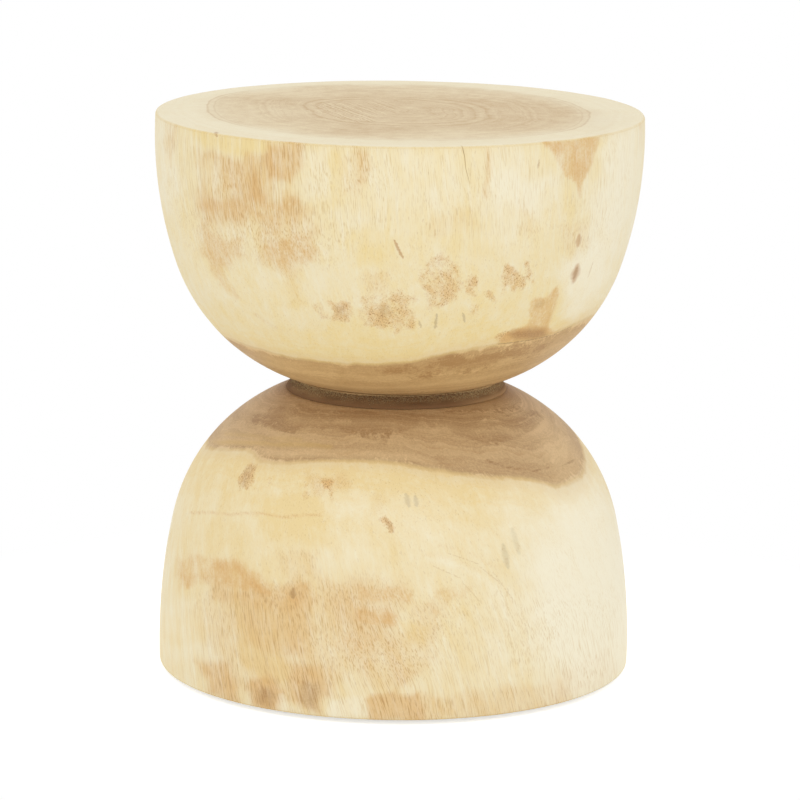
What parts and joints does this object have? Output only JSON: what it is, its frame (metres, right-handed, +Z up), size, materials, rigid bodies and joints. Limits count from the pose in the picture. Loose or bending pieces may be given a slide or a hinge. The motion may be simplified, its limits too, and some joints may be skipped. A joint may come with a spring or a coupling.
{
  "type": "stool table",
  "caption": "Hourglass stool table: a turned wooden bowl with a flat round top on a matching wooden dome, joined at a rough narrow neck, on low felt glides.",
  "frame": {"origin": "on the floor under the middle of the table top", "axes": "+Z up along the bowl's axis, -Y towards the side that the picture shows"},
  "size_m": [0.3943, 0.3943, 0.457],
  "materials": {
    "bowl_wood": "satin",
    "dome_wood": "satin",
    "collar_filler": "matte",
    "tenon_wood": "matte",
    "glide_plastic": "satin",
    "glide_felt": "matte",
    "screw_steel": "satin"
  },
  "bodies": {
    "root": {"upper_bowl": "bowl_wood", "lower_dome": "dome_wood", "neck_collar": "collar_filler", "neck_tenon": "tenon_wood", "glide_cup_front_left": "glide_plastic", "glide_felt_front_left": "glide_felt", "glide_screw_front_left": "screw_steel", "glide_cup_front_right": "glide_plastic", "glide_felt_front_right": "glide_felt", "glide_screw_front_right": "screw_steel", "glide_cup_back_right": "glide_plastic", "glide_felt_back_right": "glide_felt", "glide_screw_back_right": "screw_steel", "glide_cup_back_left": "glide_plastic", "glide_felt_back_left": "glide_felt", "glide_screw_back_left": "screw_steel"}
  },
  "joints": []
}
